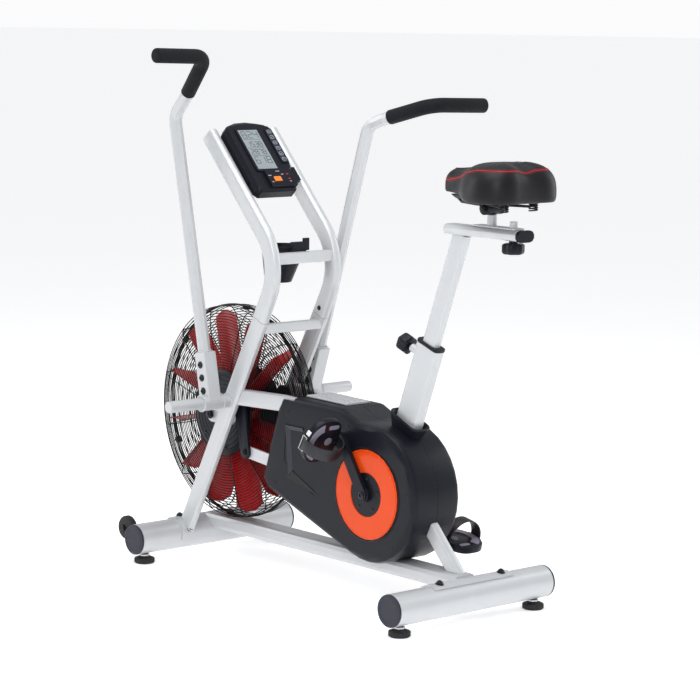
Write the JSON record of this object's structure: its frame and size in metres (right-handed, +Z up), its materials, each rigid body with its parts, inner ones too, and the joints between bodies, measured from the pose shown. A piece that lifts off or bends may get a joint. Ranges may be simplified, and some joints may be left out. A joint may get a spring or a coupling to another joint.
{
  "type": "air bike",
  "caption": "Dual-action air bike: caged paddle fan, chain drive in a shroud, cranks with strapped pedals, swinging handlebars with link rods, adjustable saddle and a small console.",
  "frame": {"origin": "on the floor under the middle of the outline", "axes": "+X forward to the fan, +Y to the rider's left, +Z up"},
  "size_m": [1.285, 0.691, 1.2919],
  "materials": {
    "black_plastic": "matte",
    "black_wire": "satin",
    "button_orange": "satin",
    "disc_orange": "gloss",
    "fan_red": "gloss paint",
    "foam": "matte foam",
    "frame_paint": "satin powder coat",
    "grey_plastic": "matte",
    "leather": "soft grained",
    "screen": "clear window",
    "steel": "zinc plated"
  },
  "bodies": {
    "frame": {"base_rail": "frame_paint", "bottle_holder": "black_plastic", "console_body": "black_plastic", "console_screen": "screen", "drive_chain": "steel", "fan_axle": "steel", "front_left_end_cap": "grey_plastic", "front_right_end_cap": "grey_plastic", "front_stabilizer": "frame_paint", "key_strip": "grey_plastic", "left_fan_guard": "black_wire", "left_mast": "frame_paint", "left_shroud": "black_plastic", "left_side_rail": "frame_paint", "left_upright": "frame_paint", "lower_cross_member": "frame_paint", "rear_left_end_cap": "grey_plastic", "rear_right_end_cap": "grey_plastic", "rear_stabilizer": "frame_paint", "rear_strut": "frame_paint", "right_fan_guard": "black_wire", "right_mast": "frame_paint", "right_shroud": "black_plastic", "right_side_rail": "frame_paint", "right_upright": "frame_paint", "seat_tube": "frame_paint", "seat_tube_bush": "black_plastic", "seat_tube_cowl": "black_plastic", "step_insert": "grey_plastic", "upper_cross_member": "frame_paint"},
    "crankset": {"crank_axle": "steel", "left_crank": "black_plastic", "right_crank": "black_plastic", "left_crank_disc": "disc_orange", "right_crank_disc": "disc_orange"},
    "left_pedal": {"left_pedal": "black_plastic"},
    "right_pedal": {"right_pedal": "black_plastic"},
    "fan": {"fan_wheel": "fan_red", "fan_sprocket": "steel"},
    "left_arm": {"left_arm": "frame_paint", "left_grip": "foam"},
    "right_arm": {"right_arm": "frame_paint", "right_grip": "foam"},
    "left_link_rod": {"left_link_rod": "frame_paint"},
    "right_link_rod": {"right_link_rod": "frame_paint"},
    "seat_post": {"seat_post": "frame_paint", "seat_rail_cap": "black_plastic"},
    "seat_carriage": {"seat_carriage": "frame_paint"},
    "saddle": {"saddle_clamp": "black_plastic", "saddle_base": "black_plastic", "saddle_cushion": "leather"},
    "seat_post_knob": {"seat_post_knob": "black_plastic"},
    "seat_rail_knob": {"seat_rail_knob": "black_plastic"},
    "mode_button": {"mode_button": "button_orange"},
    "left_transport_wheel": {"left_transport_wheel": "black_plastic"},
    "right_transport_wheel": {"right_transport_wheel": "black_plastic"},
    "rear_left_foot": {"rear_left_foot": "black_plastic"},
    "rear_right_foot": {"rear_right_foot": "black_plastic"},
    "front_left_foot": {"front_left_foot": "black_plastic"},
    "front_right_foot": {"front_right_foot": "black_plastic"}
  },
  "joints": [
    {"name": "crank_spin", "type": "hinge", "parent": "frame", "child": "crankset", "pos_m": [-0.1985, 0, 0.264], "axis": [0, 1, 0], "continuous": true},
    {"name": "left_pedal_spin", "type": "hinge", "parent": "crankset", "child": "left_pedal", "pos_m": [-0.1168, 0.15, 0.3898], "axis": [0, 1, 0], "continuous": true},
    {"name": "right_pedal_spin", "type": "hinge", "parent": "crankset", "child": "right_pedal", "pos_m": [-0.2802, -0.15, 0.1382], "axis": [0, 1, 0], "continuous": true},
    {"name": "fan_spin", "type": "hinge", "parent": "frame", "child": "fan", "pos_m": [0.3715, 0, 0.381], "axis": [0, 1, 0], "continuous": true},
    {"name": "left_arm_swing", "type": "hinge", "parent": "frame", "child": "left_arm", "pos_m": [0.2815, 0.16, 0.428], "axis": [0, 1, 0], "range_deg": [-33, 4]},
    {"name": "right_arm_swing", "type": "hinge", "parent": "frame", "child": "right_arm", "pos_m": [0.2815, -0.16, 0.428], "axis": [0, 1, 0], "range_deg": [-4, 33]},
    {"name": "left_rod_hinge", "type": "hinge", "parent": "left_arm", "child": "left_link_rod", "pos_m": [0.25518, 0.0628, 0.29865], "axis": [0, 1, 0], "range_deg": [-4, 33]},
    {"name": "right_rod_hinge", "type": "hinge", "parent": "right_arm", "child": "right_link_rod", "pos_m": [0.32141, -0.0628, 0.30218], "axis": [0, 1, 0], "range_deg": [-33, 4]},
    {"name": "seat_height", "type": "slide", "parent": "frame", "child": "seat_post", "axis": [-0.3387, 0, 0.9409], "range_m": [-0.06, 0.09]},
    {"name": "seat_fore_aft", "type": "slide", "parent": "seat_post", "child": "seat_carriage", "axis": [1, 0, 0], "range_m": [-0.006, 0.06]},
    {"name": "saddle_tilt", "type": "hinge", "parent": "seat_carriage", "child": "saddle", "pos_m": [-0.518, 0, 0.957], "axis": [0, 1, 0], "range_deg": [-8, 8]},
    {"name": "seat_post_knob_pull", "type": "slide", "parent": "frame", "child": "seat_post_knob", "axis": [0.9409, 0, 0.3387], "range_m": [0, 0.01], "stiffness_N_per_m": 400},
    {"name": "seat_rail_knob_turn", "type": "hinge", "parent": "seat_carriage", "child": "seat_rail_knob", "pos_m": [-0.5865, 0, 0.875], "axis": [0, 0, -1], "range_deg": [-180, 180]},
    {"name": "mode_button_press", "type": "slide", "parent": "frame", "child": "mode_button", "axis": [0.7303, 0, -0.6831], "range_m": [0, 0.0013], "stiffness_N_per_m": 300},
    {"name": "left_transport_wheel_spin", "type": "hinge", "parent": "frame", "child": "left_transport_wheel", "pos_m": [0.5515, 0.21, 0.077], "axis": [0, 1, 0], "continuous": true},
    {"name": "right_transport_wheel_spin", "type": "hinge", "parent": "frame", "child": "right_transport_wheel", "pos_m": [0.5515, -0.21, 0.077], "axis": [0, 1, 0], "continuous": true},
    {"name": "rear_left_foot_turn", "type": "hinge", "parent": "frame", "child": "rear_left_foot", "pos_m": [-0.4695, 0.2135, 0.012], "axis": [0, 0, 1], "range_deg": [-180, 180]},
    {"name": "rear_right_foot_turn", "type": "hinge", "parent": "frame", "child": "rear_right_foot", "pos_m": [-0.4695, -0.2135, 0.012], "axis": [0, 0, 1], "range_deg": [-180, 180]},
    {"name": "front_left_foot_turn", "type": "hinge", "parent": "frame", "child": "front_left_foot", "pos_m": [0.4765, 0.2135, 0.012], "axis": [0, 0, 1], "range_deg": [-180, 180]},
    {"name": "front_right_foot_turn", "type": "hinge", "parent": "frame", "child": "front_right_foot", "pos_m": [0.4765, -0.2135, 0.012], "axis": [0, 0, 1], "range_deg": [-180, 180]}
  ],
  "couplings": [
    {"joint": "fan_spin", "follows": "crank_spin", "ratio": 2.902},
    {"joint": "right_arm_swing", "follows": "left_arm_swing", "ratio": -1},
    {"joint": "left_rod_hinge", "follows": "left_arm_swing", "ratio": -1},
    {"joint": "right_rod_hinge", "follows": "left_arm_swing", "ratio": 1}
  ]
}
